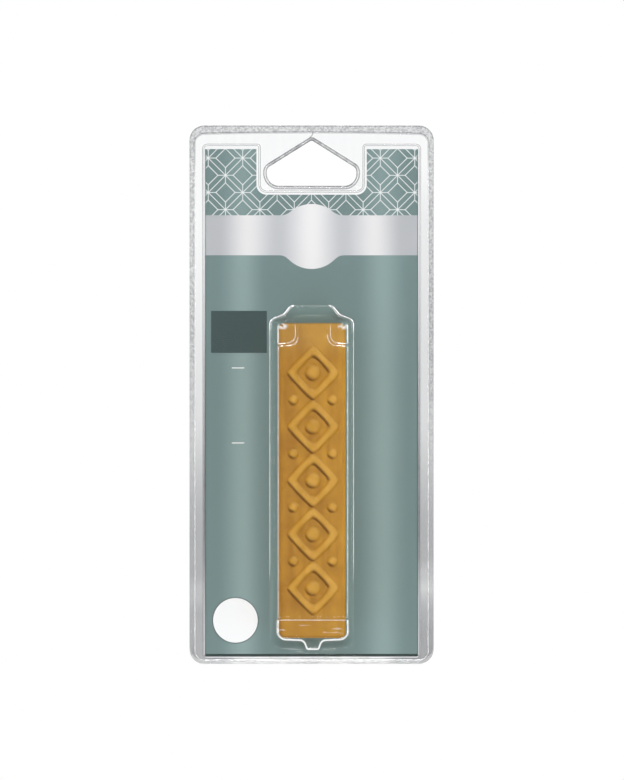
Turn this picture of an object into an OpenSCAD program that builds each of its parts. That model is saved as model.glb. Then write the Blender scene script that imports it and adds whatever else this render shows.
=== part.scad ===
// Wax stick for furniture repair, in its clear folding hang pack.
// The pack stands upright, its front faces -Y, and the two clear halves meet at y = 0.
// The origin is the top of the hang hole, where a shop hook carries the pack.

/* [Pack] */
// Width of the pack
pack_w = 83; // [78:0.5:92]
// Height of the pack, from the top edge to the fold
pack_h = 183; // [178:0.5:200]
// Radius of the pack's corners
corner_r = 5; // [3:0.5:7]
// Thickness of the front sheet
sheet_t = 0.5; // [0.35:0.05:0.7]
// Thickness of the back sheet
back_t = 0.4; // [0.3:0.05:0.6]

/* [Welded rim] */
// Width of the pressed weld along the sides
weld_side = 1.7; // [1:0.1:2.2]
// Width of the pressed weld along the top
weld_top = 2.8; // [1.5:0.1:3.2]
// Width of the pressed weld along the bottom
weld_bottom = 1.2; // [1.1:0.05:1.25]
// Depth that the weld is pressed into the front sheet
weld_press = 0.15; // [0.05:0.01:0.2]
// Width of the fine ridge along the weld's inner edge
ridge_w = 0.4; // [0.2:0.05:0.6]
// Height of that ridge above the sheet
ridge_h = 0.2; // [0.1:0.05:0.3]

/* [Fold] */
// Length of the fold that joins the two halves along the bottom
fold_l = 68.6; // [50:0.2:70]
// Outer radius of the fold
fold_r = 0.6; // [0.55:0.01:0.75]
// Running clearance between the fold and the back half
fold_gap = 0.08; // [0.05:0.01:0.1]

/* [Hang hole] */
// Distance from the pack's top edge to the top of the hole
hole_drop = 5; // [4.5:0.1:7]
// Width of the hole
hole_w = 30.5; // [26:0.5:33]
// Height of the hole
hole_h = 15.5; // [14:0.25:18]
// Slope of the hole's two upper sides, in degrees
hole_slope = 32; // [26:1:34]
// Radius at the hole's top
hole_top_r = 0.9; // [0.5:0.1:2]
// Radius at the ends of the slopes
hole_side_r = 2.2; // [1:0.1:3]
// Radius of the hole's bottom corners
hole_foot_r = 4.2; // [2.5:0.1:4.4]
// Width of the raised bead round the hole
bead_w = 1.2; // [0.8:0.1:1.4]
// Height of that bead above the sheet
bead_h = 0.7; // [0.3:0.1:1.2]

/* [Card] */
// Thickness of the printed card
card_t = 0.5; // [0.35:0.05:0.7]
// Distance from the pack's side to the card
card_side = 5.3; // [4.5:0.1:8]
// Distance from the pack's top to the card
card_top = 8; // [7.5:0.1:9]
// Distance from the pack's bottom to the card
card_bottom = 2.5; // [2.2:0.1:4]
// Distance from the hang hole to the sides of the card's notch
notch_side = 3.5; // [3.2:0.1:5]
// Distance from the hang hole to the bottom of the notch
notch_below = 3; // [2.7:0.1:4]
// Radius of the notch's corners
notch_r = 3.4; // [2:0.1:4.5]
// Clearance between the card's faces and the two sheets
card_gap = 0.15; // [0.12:0.01:0.3]

/* [Card pocket] */
// Gap between the card's sides and the pocket
pocket_side = 0.4; // [0.2:0.05:0.8]
// Gap between the card's top and the pocket
pocket_top = 1.2; // [0.5:0.1:1.4]
// Gap between the notch and the pocket
pocket_notch = 0.8; // [0.4:0.1:0.9]
// Clearance between the card's bottom edge and the pocket that carries it
pocket_seat = 0.15; // [0.1:0.01:0.3]
// Radius of the pocket's corners
pocket_r = 1.2; // [0.8:0.1:2]

/* [Shade label] */
// Diameter of the round shade label
label_d = 15.2; // [10:0.2:18]
// Thickness of the label
label_t = 0.08; // [0.05:0.01:0.1]
// Distance from the card's side to the label
label_side = 2.7; // [1:0.1:6]
// Distance from the card's bottom to the label
label_bottom = 4.7; // [2:0.1:20]

/* [Wax stick] */
// Width of the stick
stick_w = 23; // [20:0.5:24]
// Length of the stick
stick_l = 107; // [100:0.5:110]
// Thickness of the stick, without its ornament
stick_t = 19.8; // [14:0.2:22]
// Height of the stick's lower end above the pack's bottom
stick_rise = 8.9; // [8.5:0.1:11]
// Radius of the stick's four corners, seen from the front
stick_corner_r = 2.2; // [1.5:0.1:3]
// Radius of the stick's front edges
stick_front_r = 1; // [0.5:0.1:1.4]
// Radius of the stick's back edges
stick_back_r = 0.5; // [0.3:0.1:1]
// Draft of the stick's sides, from back to front
stick_draft = 0.3; // [0.1:0.05:0.6]

/* [Ornament on the stick] */
// Number of lozenges along the stick
lozenge_n = 5; // [3:1:6]
// Overall width of a lozenge
lozenge_w = 16.6; // [12:0.2:18]
// Gap between neighbouring lozenges
lozenge_gap = 0.8; // [0.4:0.1:2]
// Length of the stick that the ornament covers
ornament_l = 91; // [80:0.5:92]
// Width of the raised bead that draws a lozenge
lozenge_bead = 2.6; // [2:0.1:3]
// Height of the ornament above the stick's face
ornament_h = 1.2; // [0.8:0.1:1.4]
// Diameter of the round boss inside a lozenge
boss_d = 5.2; // [3:0.2:6]
// Diameter of the small bosses beside two lozenges
stud_d = 3.4; // [2.4:0.2:4]
// Distance from the stick's side to the middle of a small boss
stud_side = 4.9; // [4.5:0.1:6]

/* [Blister] */
// Clearance between the stick's sides and the blister
blister_side = 0.4; // [0.3:0.05:0.8]
// Clearance between the stick's face and the blister
blister_front = 0.3; // [0.2:0.05:0.6]
// Clearance between the stick's lower end and the blister that carries it
blister_seat = 0.2; // [0.15:0.05:0.4]
// Clearance between the stick's upper end and the blister's shoulders
blister_head = 0.3; // [0.25:0.05:0.8]
// Draft of the blister's sides, from the pocket to its face
side_draft = 1.5; // [0.8:0.1:2]
// Draft of the blister's lower end
foot_draft = 2.1; // [0.8:0.1:2.3]
// Fall of the blister's lower end from its corners to its tab
foot_crown = 0.4; // [0.2:0.05:0.8]
// Radius of the shoulders
shoulder_r = 1.8; // [1.2:0.1:3]
// Radius of the blister's lower corners
foot_r = 3.3; // [2.8:0.1:4]
// Radius along the edge of the blister's face
face_r = 1.2; // [0.8:0.1:1.6]
// Radius where the blister leaves the pocket
root_r = 0.6; // [0.3:0.1:1]

/* [Blister neck] */
// Width of the neck's end, at the pocket
neck_w = 14; // [11:0.2:16]
// Width of the neck's end, at the face
neck_face_w = 12.6; // [10:0.2:12.8]
// Width across the neck's root, at the pocket
neck_root_w = 18.8; // [17:0.2:20]
// Width across the neck's root, at the face
neck_face_root_w = 14.4; // [13.6:0.2:16]
// Height of the neck, at the pocket
neck_h = 3; // [2:0.1:5]
// Height of the neck, at the face
neck_face_h = 1.4; // [1.2:0.1:2]
// Rise of the shoulders to the neck, at the pocket
shoulder_rise = 1.7; // [0.8:0.1:2.5]
// Rise of the shoulders to the neck, at the face
shoulder_face_rise = 0.8; // [0.5:0.1:1.2]
// Radius of the neck's corners
neck_r = 1.3; // [0.8:0.1:1.6]
// Radius between the neck and the shoulders
neck_root_r = 1.2; // [0.8:0.1:1.6]

/* [Blister tab] */
// Width of the tab's root
tab_w = 7; // [6:0.2:9]
// Width of the tab's end
tab_end_w = 4.6; // [4:0.2:5.4]
// Length of the tab, at the face
tab_l = 3; // [2:0.1:3.4]
// Length of the tab, at the pocket
tab_root_l = 1.6; // [1.4:0.1:2]
// Radius of the tab's corners
tab_r = 1.3; // [0.8:0.1:1.5]

/* [Raised panel] */
// Height of the panel over the ornament, above the pads that hold the stick's upper corners
panel_h = 1.5; // [1.2:0.1:2.5]
// Step in from the blister's sides and neck to the panel
panel_step = 0.1; // [0.05:0.05:0.3]
// Distance from the stick's upper end to the panel
panel_top = 6.6; // [5:0.1:7]
// Distance from the stick's lower end to the panel
panel_bottom = 6.3; // [5:0.1:7]
// Width of the channel that runs from the panel into the neck
channel_w = 12; // [9:0.2:12.4]
// Fall of the panel's upper edge from the channel to its corners
panel_fall = 0.5; // [0.3:0.1:1]
// Radius between the channel and the panel's upper edge
channel_r = 1.7; // [1.2:0.1:2.4]
// Radius of the panel's corners at the blister's sides
panel_r = 0.4; // [0.2:0.1:0.8]

/* [Hidden] */

$fn = 64;
// Length by which every cut runs past what it cuts
overrun = 1;
// Steps along each rounded corner of a lofted outline, and along a rounded edge
corner_steps = 6;
edge_steps = 4;
// Steps across the half-round bead of a lozenge
bead_steps = 8;
// Depth by which raised forms are sunk into what carries them
root_depth = 0.3;
// Radius that a corner keeps when its outline moves in past it
least_r = 0.05;

clear_colour = [0.86, 0.9, 0.92, 0.35];
card_colour = [0.47, 0.55, 0.54];
label_colour = [0.97, 0.97, 0.96];
wax_colour = [0.76, 0.55, 0.22];

// Heights of the pack, measured up from the top of the hang hole
y_top = hole_drop;
y_bottom = y_top - pack_h;
y_fold = y_bottom + fold_r;
y_back = y_fold + fold_r + fold_gap;

// Outline of the card and of its notch
card_x = pack_w / 2 - card_side;
card_y1 = y_top - card_top;
card_y0 = y_bottom + card_bottom;
notch_x = hole_w / 2 + notch_side;
notch_y = -hole_h - notch_below;

// Depths, measured forward from the plane where the halves meet
card_face = card_t / 2;
pocket_in = card_face + card_gap;
pocket_out = pocket_in + sheet_t;
stick_back = pocket_in;
stick_face = stick_back + stick_t;
face_out = stick_face + blister_front + sheet_t;
panel_out = face_out + panel_h;

// Heights of the stick
stick_y0 = y_bottom + stick_rise;
stick_y1 = stick_y0 + stick_l;

// Outline of the blister at its face and at the pocket, from the neck down to the tab
side_x = stick_w / 2 + blister_side + sheet_t;
shoulder_y = stick_y1 + blister_head + sheet_t;
foot_y = stick_y0 - blister_seat - sheet_t;
face_outline = [
    [neck_face_w / 2, shoulder_y + shoulder_face_rise + neck_face_h],
    [neck_face_root_w / 2, shoulder_y + shoulder_face_rise],
    [side_x, shoulder_y],
    [side_x, foot_y],
    [tab_w / 2, foot_y - foot_crown],
    [tab_end_w / 2, foot_y - foot_crown - tab_l],
];
root_outline = [
    [neck_w / 2, shoulder_y + shoulder_rise + neck_h],
    [neck_root_w / 2, shoulder_y + shoulder_rise],
    [side_x + side_draft, shoulder_y],
    [side_x + side_draft, foot_y - foot_draft],
    [tab_w / 2, foot_y - foot_draft - foot_crown],
    [tab_end_w / 2, foot_y - foot_draft - foot_crown - tab_root_l],
];
blister_radii = [neck_r, neck_root_r, shoulder_r, foot_r, tab_r, tab_r];

// Outline of the raised panel and of its channel, which ends in the neck
panel_x = side_x - panel_step;
panel_y1 = stick_y1 - panel_top;
panel_y0 = stick_y0 + panel_bottom;
channel_y = shoulder_y + shoulder_face_rise + neck_face_h - panel_step;
panel_outline = [
    [channel_w / 2, channel_y],
    [channel_w / 2, panel_y1],
    [panel_x, panel_y1 - panel_fall],
    [panel_x, panel_y0],
];
panel_radii = [neck_r, channel_r, panel_r, panel_r];

// Outline of the hang hole, from its top down
hole_outline = [
    [hole_w / 2, -hole_w / 2 * tan(hole_slope)],
    [hole_w / 2, -hole_h],
];

// Ornament: the pitch and height of the lozenges, and where they start
lozenge_pitch = ornament_l / lozenge_n;
lozenge_h = lozenge_pitch - lozenge_gap;
ornament_y = (stick_y0 + stick_y1) / 2;
// Radius of a lozenge's corners, as a share of its bead's width
lozenge_turn_share = 0.62;

function unit(v) = v / norm(v);
function mirrored(half) = concat(half, [for (i = [len(half) - 1 : -1 : 0]) [-half[i].x, half[i].y]]);

// Outlines run clockwise, so the inside lies to the right of every edge.
function inward(a, b) = let (d = unit(b - a)) [d.y, -d.x];
function is_hollow(a, b, c) = cross(b - a, c - b) > 0;

// The corner b between a and c, as an arc of radius r
function arc_corner(a, b, c, r) =
    let (
        u = unit(a - b),
        v = unit(c - b),
        half = acos(u * v) / 2,
        centre = b + unit(u + v) * r / sin(half),
        p = b + u * r / tan(half) - centre,
        q = b + v * r / tan(half) - centre,
        from = atan2(p.y, p.x),
        turn = (atan2(q.y, q.x) - from + 540) % 360 - 180
    )
    [for (i = [0 : corner_steps])
        centre + r * [cos(from + turn * i / corner_steps), sin(from + turn * i / corner_steps)]];

// A closed outline moved inward by inset, with its corners rounded
function rounded(points, radii, inset = 0) =
    let (
        n = len(points),
        moved = [for (i = [0 : n - 1])
            let (
                before = inward(points[(i + n - 1) % n], points[i]),
                after = inward(points[i], points[(i + 1) % n])
            )
            points[i] + (before + after) / (1 + before * after) * inset]
    )
    [for (i = [0 : n - 1])
        let (
            a = moved[(i + n - 1) % n],
            b = moved[i],
            c = moved[(i + 1) % n],
            r = max(least_r, radii[i] + (is_hollow(a, b, c) ? inset : -inset))
        )
        each arc_corner(a, b, c, r)];

// The same for an outline that is given by its right half
function rounded_pair(half, radii, inset = 0) =
    rounded(mirrored(half), concat(radii, [for (i = [len(radii) - 1 : -1 : 0]) radii[i]]), inset);

// One level of a loft: its height and the outline there
function level(z, outline) = [for (p = outline) [p.x, p.y, z]];

// Solid through a stack of levels, each with the same number of points, the same left and right
module loft(levels) {
    n = len(levels[0]);
    last = len(levels) - 1;
    sides = [for (k = [0 : last - 1], j = [0 : n - 1])
        let (
            a = k * n + j,
            b = k * n + (j + 1) % n
        )
        each [[a, b, b + n], [a, b + n, a + n]]];
    bottom = [for (i = [0 : n / 2 - 2]) [n - 1 - i, n - 2 - i, i + 1, i]];
    top = [for (f = bottom) [for (i = [3 : -1 : 0]) f[i] + last * n]];
    polyhedron(points = [for (l = levels) each l], faces = concat(bottom, sides, top), convexity = 6);
}

// Rectangle from low to high, with round corners
module round_rect(low, high, r) {
    size = high - low;
    translate(low + [r, 0]) square([size.x - 2 * r, size.y]);
    translate(low + [0, r]) square([size.x, size.y - 2 * r]);
    for (x = [low.x + r, high.x - r], y = [low.y + r, high.y - r]) translate([x, y]) circle(r);
}

// Slab between two depths
module slab(from, to) {
    translate([0, 0, from]) linear_extrude(to - from) children();
}

// The parts are drawn lying on their backs and then stood up.
module upright() {
    rotate([90, 0, 0]) children();
}

// Outline of a flange down to the height low, moved inward by the given margins
module flange_outline(low, side = 0, top = 0) {
    round_rect([-pack_w / 2 + side, low], [pack_w / 2 - side, y_top - top], corner_r - side);
}

// Outline of the card's pocket, moved outward by grow
module pocket_outline(grow) {
    difference() {
        round_rect(
            [-card_x - pocket_side - grow, card_y0 - pocket_seat - grow],
            [card_x + pocket_side + grow, card_y1 + pocket_top + grow],
            pocket_r + grow
        );
        round_rect(
            [-notch_x + pocket_notch + grow, notch_y + pocket_notch + grow],
            [notch_x - pocket_notch - grow, y_top],
            notch_r - pocket_notch - grow
        );
    }
}

// Outline of the hang hole, moved outward by grow
module hole_shape(grow = 0) {
    points = concat([[0, 0]], mirrored(hole_outline));
    radii = [hole_top_r, hole_side_r, hole_foot_r, hole_foot_r, hole_side_r];
    polygon(rounded(points, radii, -grow));
}

// Front flange, with its weld pressed in and the fine ridge inside the weld
module front_flange() {
    weld_y = y_bottom + weld_bottom;
    difference() {
        slab(0, sheet_t) flange_outline(y_bottom);
        slab(sheet_t - weld_press, sheet_t + overrun) difference() {
            flange_outline(y_bottom - overrun, -overrun, -overrun);
            flange_outline(weld_y, weld_side, weld_top);
        }
    }
    slab(0, sheet_t + ridge_h) difference() {
        flange_outline(weld_y, weld_side, weld_top);
        flange_outline(weld_y + ridge_w, weld_side + ridge_w, weld_top + ridge_w);
    }
}

// The fold along the bottom, which the back half turns on
module fold_edge() {
    translate([0, y_fold, 0]) rotate([0, 90, 0]) cylinder(h = fold_l, r = fold_r, center = true);
}

// Outside of the blister for depth 0, and its inside for the sheet's thickness
module blister_body(depth) {
    face = face_out - depth;
    pocket = pocket_out - depth;
    root = root_r + depth;
    edge = face_r - depth;
    angles = [for (i = [0 : edge_steps]) 90 * i / edge_steps];
    loft(concat(
        [level(depth > 0 ? -overrun : pocket - root_depth,
            rounded_pair(root_outline, blister_radii, -root_r))],
        [for (a = angles)
            level(pocket + root * (1 - cos(a)),
                rounded_pair(root_outline, blister_radii, depth - root * (1 - sin(a))))],
        [for (a = angles)
            level(face - edge * (1 - sin(a)),
                rounded_pair(face_outline, blister_radii, depth + edge * (1 - cos(a))))]
    ));
}

// The raised panel and its channel, outside for depth 0 and inside for the sheet's thickness
module blister_panel(depth) {
    top = panel_out - depth;
    edge = face_r - depth;
    angles = [for (i = [0 : edge_steps]) 90 * i / edge_steps];
    loft(concat(
        [level(face_out - face_r - root_depth, rounded_pair(panel_outline, panel_radii, depth))],
        [for (a = angles)
            level(top - edge * (1 - sin(a)),
                rounded_pair(panel_outline, panel_radii, depth + edge * (1 - cos(a))))]
    ));
}

// Clear front half: flange, card pocket, blister, hang hole and fold
module front_shell() {
    color(clear_colour) upright() difference() {
        union() {
            front_flange();
            fold_edge();
            slab(0, pocket_out) pocket_outline(sheet_t);
            slab(0, sheet_t + bead_h) hole_shape(bead_w);
            blister_body(0);
            blister_panel(0);
        }
        slab(-overrun, pocket_in) pocket_outline(0);
        blister_body(sheet_t);
        blister_panel(sheet_t);
        slab(-overrun, sheet_t + bead_h + overrun) hole_shape();
    }
}

// Clear back half: flange above the fold and shallow card panel
module back_shell() {
    color(clear_colour) upright() difference() {
        union() {
            slab(-back_t, 0) flange_outline(y_back);
            slab(-pocket_in - back_t, 0) pocket_outline(back_t);
        }
        slab(-pocket_in, overrun) pocket_outline(0);
        slab(-pocket_in - back_t - overrun, overrun) hole_shape();
    }
}

// Printed card, with a notch round the hang hole
module insert_card() {
    color(card_colour) upright() slab(-card_face, card_face) difference() {
        translate([-card_x, card_y0]) square([2 * card_x, card_y1 - card_y0]);
        round_rect([-notch_x, notch_y], [notch_x, y_top], notch_r);
    }
}

// Round label stuck to the card's front
module shade_label() {
    at = [-card_x + label_side + label_d / 2, card_y0 + label_bottom + label_d / 2];
    color(label_colour) upright() translate([at.x, at.y, card_face])
        cylinder(h = label_t, d = label_d);
}

// Cast block of the stick, with draft and rounded edges
module stick_block() {
    back = [[stick_w / 2, stick_y1], [stick_w / 2, stick_y0]];
    radii = [stick_corner_r, stick_corner_r];
    angles = [for (i = [0 : edge_steps]) 90 * i / edge_steps];
    loft(concat(
        [for (a = angles)
            level(stick_back + stick_back_r * (1 - cos(a)),
                rounded_pair(back, radii, stick_back_r * (1 - sin(a))))],
        [for (a = angles)
            level(stick_face - stick_front_r * (1 - sin(a)),
                rounded_pair(back, radii, stick_draft + stick_front_r * (1 - cos(a))))]
    ));
}

// Half-round bead along a closed outline, as a ring of profiles across it
module outline_bead(outline) {
    n = len(outline);
    m = bead_steps + 3;
    reach = lozenge_bead / 2;
    profile = concat(
        [[-reach, -root_depth]],
        [for (i = [0 : bead_steps]) let (a = 180 * i / bead_steps) [-reach * cos(a), ornament_h * sin(a)]],
        [[reach, -root_depth]]
    );
    points = [for (i = [0 : n - 1])
        let (
            before = inward(outline[(i + n - 1) % n], outline[i]),
            after = inward(outline[i], outline[(i + 1) % n]),
            across = (before + after) / (1 + before * after)
        )
        for (p = profile) [outline[i].x + across.x * p.x, outline[i].y + across.y * p.x, p.y]];
    faces = [for (i = [0 : n - 1], j = [0 : m - 1])
        let (
            a = i * m + j,
            b = i * m + (j + 1) % m,
            c = (i + 1) % n * m + j,
            d = (i + 1) % n * m + (j + 1) % m
        )
        each [[a, d, b], [a, c, d]]];
    polyhedron(points = points, faces = faces, convexity = 4);
}

// One lozenge of the ornament, centred on the stick's face
module lozenge() {
    x = lozenge_w / 2 - lozenge_bead / 2;
    y = lozenge_h / 2 - lozenge_bead / 2;
    turn_r = lozenge_bead * lozenge_turn_share;
    outline_bead(rounded([[0, y], [x, 0], [0, -y], [-x, 0]], [turn_r, turn_r, turn_r, turn_r]));
}

// Low round boss on the stick's face
module boss(d) {
    r = (d * d / 4 + ornament_h * ornament_h) / (2 * ornament_h);
    translate([0, 0, ornament_h - r]) sphere(r);
}

// Cast wax stick: block and its chain of lozenges and bosses
module wax_stick() {
    stud_x = stick_w / 2 - stud_side;
    color(wax_colour) upright() union() {
        stick_block();
        translate([0, ornament_y, stick_face]) {
            for (i = [0 : lozenge_n - 1]) translate([0, (i - (lozenge_n - 1) / 2) * lozenge_pitch, 0]) {
                lozenge();
                boss(boss_d);
            }
            for (i = [0 : lozenge_n - 2], side = [-1, 1])
                translate([side * stud_x, (i - lozenge_n / 2 + 1) * lozenge_pitch, 0]) boss(stud_d);
        }
    }
}

front_shell();
wax_stick();
insert_card();
shade_label();
back_shell();
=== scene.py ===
"""Wax stick for furniture repair in its clear folding hang pack: the looks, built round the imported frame."""

import math

import bmesh
import bpy
from mathutils import Matrix, Vector, noise
from mathutils.geometry import delaunay_2d_cdt


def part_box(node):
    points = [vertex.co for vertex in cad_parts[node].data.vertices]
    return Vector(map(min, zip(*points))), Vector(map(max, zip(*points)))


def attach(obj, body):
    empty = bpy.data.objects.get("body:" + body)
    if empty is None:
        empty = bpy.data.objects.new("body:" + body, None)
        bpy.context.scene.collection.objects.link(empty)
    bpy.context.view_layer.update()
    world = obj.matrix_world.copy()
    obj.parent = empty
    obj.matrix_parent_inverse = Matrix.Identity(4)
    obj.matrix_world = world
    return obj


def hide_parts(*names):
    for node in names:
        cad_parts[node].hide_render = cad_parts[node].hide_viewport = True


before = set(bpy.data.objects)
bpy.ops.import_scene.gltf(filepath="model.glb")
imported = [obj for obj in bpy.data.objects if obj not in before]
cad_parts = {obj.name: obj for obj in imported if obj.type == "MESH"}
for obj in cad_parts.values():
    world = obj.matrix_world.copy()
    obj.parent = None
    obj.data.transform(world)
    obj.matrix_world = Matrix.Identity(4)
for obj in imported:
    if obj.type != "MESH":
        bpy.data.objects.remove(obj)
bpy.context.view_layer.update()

MM = 0.001

# Places and sizes that the frame gives
shell_low, shell_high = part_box("front_shell")
back_low, back_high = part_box("back_shell")
card_low, card_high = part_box("insert_card")
stick_low, stick_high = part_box("wax_stick")
label_low, label_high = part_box("shade_label")

# Sheets of the pack
SHEET = 0.5 * MM
SEAM = 0.02 * MM
CORNER_R = 5 * MM
PACK_X = shell_high.x
PACK_TOP = shell_high.z
PACK_BOTTOM = shell_low.z

# Fold along the bottom
FOLD_HALF = 34.3 * MM
FOLD_R = 0.6 * MM
FOLD_Z = PACK_BOTTOM + FOLD_R
FLANGE_LIFT = 0.1 * MM
FLANGE_Z = FOLD_Z + FLANGE_LIFT
FOLD_END_GAP = 0.05 * MM
FOLD_WAVE = 3 * MM
FOLD_WAVE_SHARE = 0.12

# Welded rim
WELD_SIDE = 1.7 * MM
WELD_TOP = 2.8 * MM
WELD_BOW = 0.5 * MM
WELD_FOOT = 1.1 * MM
WELD_FOLD = 1.2 * MM
WELD_PRESS = 0.15 * MM
KNURL_PITCH = 1.3 * MM
KNURL_DEPTH = 0.1 * MM
KNURL_PATCH = 2.5 * MM
KNURL_SHARE = 0.5
GRIT_SIZE = 0.6 * MM
GRIT_SHARE = 0.3
RIDGE_W = 0.4 * MM
RIDGE_H = 0.2 * MM
# Profile of the ridge, from the weld inward, as shares of its width and height
RIDGE_SHARES = ((0.15, 0.75), (0.3, 0.95), (0.5, 1.0), (0.7, 0.75), (0.85, 0.3), (1.0, 0.0))

# Hang hole
HOLE_X = 15.25 * MM
HOLE_H = 15.5 * MM
HOLE_SLOPE = math.radians(32)
HOLE_TOP_R = 0.9 * MM
HOLE_SIDE_R = 2.2 * MM
HOLE_FOOT_R = 4.2 * MM
HOLE_RADII = [HOLE_TOP_R, HOLE_SIDE_R, HOLE_FOOT_R, HOLE_FOOT_R, HOLE_SIDE_R]
BEAD_W = 1.2 * MM
BEAD_H = 0.7 * MM
BEAD_HALF_SHARE = 0.5
HOLLOW_HALF_SHARE = 0.36

# Card pocket
CARD_FACE = -card_low.y
CARD_GAP = 0.15 * MM
POCKET_IN = CARD_FACE + CARD_GAP
POCKET_OUT = POCKET_IN + SHEET
BACK_SHEET = back_high.y - POCKET_IN
POCKET_SIDE = 0.4 * MM
POCKET_TOP = 1.2 * MM
POCKET_SEAT = 0.15 * MM
POCKET_R = 1.2 * MM
POCKET_STEP_R = 0.15 * MM
NOTCH_X = 17.95 * MM
NOTCH_Z = -17.7 * MM
NOTCH_R = 2.6 * MM
ARM_R = 0.6 * MM

# Wax stick
STICK_X = stick_high.x
STICK_BACK = -stick_high.y
ORNAMENT_H = 1.2 * MM
STICK_FACE = -stick_low.y - ORNAMENT_H
STICK_CORNER_R = 2.2 * MM
STICK_FRONT_R = 1.0 * MM
STICK_BACK_R = 0.5 * MM
STICK_DRAFT = 0.3 * MM
LOZENGE_N = 5
LOZENGE_PITCH = 18.2 * MM
LOZENGE_X = 7.0 * MM
LOZENGE_Z = 7.4 * MM
LOZENGE_TURN = 1.0 * MM
TURN_SHARE = 0.45
BEAD_REACH = 1.3 * MM
BOSS_R = 2.6 * MM
STUD_R = 1.7 * MM
STUD_X = 6.6 * MM
ROUNDNESS = 0.62
CREST_SHARE = 0.8
SKIN_WAVE = 9 * MM
SKIN_WAVE_H = 0.05 * MM
SKIN_RIPPLE = 2.4 * MM
SKIN_RIPPLE_H = 0.02 * MM
SKIN_PIT = 0.9 * MM
SKIN_PIT_H = 0.25 * MM
SKIN_PIT_LEVEL = 0.42

# Blister over the stick, with its gaps round it
FRONT_GAP = 0.3 * MM
SIDE_GAP = 0.4 * MM
HEAD_GAP = 0.3 * MM
SEAT_GAP = 0.2 * MM
FACE_OUT = STICK_FACE + FRONT_GAP + SHEET
SIDE_X = STICK_X + SIDE_GAP + SHEET
SIDE_DRAFT = 1.5 * MM
SHOULDER_Z = stick_high.z + HEAD_GAP + SHEET
FOOT_Z = stick_low.z - SEAT_GAP - SHEET
FOOT_DRAFT = 2.1 * MM
FOOT_CROWN = 0.4 * MM
FACE_R = 1.2 * MM
ROOT_R = 0.6 * MM

# Neck above the blister's shoulders and tab below its foot, each at the face and at the root
NECK_X = 6.3 * MM
NECK_H = 2.2 * MM
NECK_TURN_X = 7.2 * MM
NECK_TURN_H = 0.8 * MM
NECK_ROOT_X = 7.0 * MM
NECK_ROOT_H = 4.7 * MM
NECK_ROOT_TURN_X = 9.4 * MM
NECK_ROOT_TURN_H = 1.7 * MM
NECK_R = 1.3 * MM
NECK_TURN_R = 1.2 * MM
SHOULDER_R = 1.8 * MM
FOOT_R = 3.3 * MM
TAB_X = 3.5 * MM
TAB_END_X = 2.3 * MM
TAB_H = 3.0 * MM
TAB_ROOT_H = 1.6 * MM
TAB_R = 1.3 * MM
BLISTER_RADII = [NECK_R, NECK_TURN_R, SHOULDER_R, FOOT_R, TAB_R, TAB_R]

# Raised panel on the blister's face, with a channel between the two corner pads
PAD_H = 6.6 * MM
FOOT_BAND_H = 6.3 * MM
PANEL_OUT = -shell_low.y
PANEL_TOP = stick_high.z - PAD_H
PANEL_FOOT = stick_low.z + FOOT_BAND_H
CHANNEL_X = 6.0 * MM
PANEL_FALL = 0.5 * MM
PANEL_RUN = 1.1 * MM
PANEL_R = 3.0 * MM
CHANNEL_DOWN = 3 * PANEL_R

# Fineness of the meshes
CORNER_STEPS = 12
EDGE_STEPS = 8
BEAD_STEPS = 12
WELD_ROWS = 7
FOLD_STATIONS = 90
FOLD_TURNS = 14
CASTING_LEVELS = 12
RIM_PITCH = 0.35 * MM
BLISTER_PITCH = 0.3 * MM
PANEL_GRID = 0.2 * MM
CASTING_PITCH = 1.2 * MM
CASTING_GRID = 0.3 * MM
CASTING_MARGIN = 0.6 * CASTING_GRID
SHARP_ANGLE = 40
CASTING_SHARP_ANGLE = 60
LEAST_R = 0.05 * MM
SLACK = 0.01 * MM
NEAR = 1e-9

# Finishes of the front half and of the back half, in the order of their materials
BLISTER, LAND, WELD, INSIDE, WELD_LINE, RIDGE, BEAD = range(7)
BACK_PANEL, BACK_FLANGE = range(2)


def mirrored(half):
    """The whole outline of a shape that is given by its right half, from the top down."""
    return half + [Vector((-p.x, p.y)) for p in reversed(half)]


def paired(radii):
    """Radii of a whole outline from those of its right half."""
    return radii + radii[::-1]


def inward(a, b):
    """Direction from the edge a to b into an outline that runs clockwise."""
    along = (b - a).normalized()
    return Vector((along.y, -along.x))


def corner_arc(before, at, after, radius):
    """Points along a corner that is rounded with the given radius."""
    u = (before - at).normalized()
    v = (after - at).normalized()
    half = u.angle(v) / 2
    centre = at + (u + v).normalized() * radius / math.sin(half)
    start = at + u * radius / math.tan(half) - centre
    end = at + v * radius / math.tan(half) - centre
    turn = math.atan2(start.cross(end), start.dot(end))
    return [
        centre + Matrix.Rotation(turn * i / CORNER_STEPS, 2) @ start
        for i in range(CORNER_STEPS + 1)
    ]


def rounded(points, radii, inset=0.0, parts=None):
    """A closed clockwise outline moved inward by inset, with round corners and each side cut into parts."""
    count = len(points)
    moved = []
    for i, point in enumerate(points):
        before = inward(points[i - 1], point)
        after = inward(point, points[(i + 1) % count])
        moved.append(point + (before + after) / (1 + before.dot(after)) * inset)
    outline = []
    for i, at in enumerate(moved):
        last, following = moved[i - 1], moved[(i + 1) % count]
        hollow = (at - last).cross(following - at) > 0
        radius = max(radii[i] + (inset if hollow else -inset), LEAST_R)
        arc = corner_arc(last, at, following, radius)
        if parts and outline:
            outline += divided(outline[-1], arc[0], parts[i - 1])
        outline += arc
    if parts:
        outline += divided(outline[-1], outline[0], parts[-1])
    return outline


def divided(start, end, parts):
    """Points that cut the stretch from start to end into equal parts."""
    return [start.lerp(end, k / parts) for k in range(1, parts)]


def parts_of(points, pitch):
    """How many parts of about that pitch each side of an outline has."""
    return [max(1, round((b - a).length / pitch)) for a, b in zip(points, points[1:] + points[:1])]


def quarter():
    """Angles along a quarter round."""
    return [math.pi / 2 * i / EDGE_STEPS for i in range(EDGE_STEPS + 1)]


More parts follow.
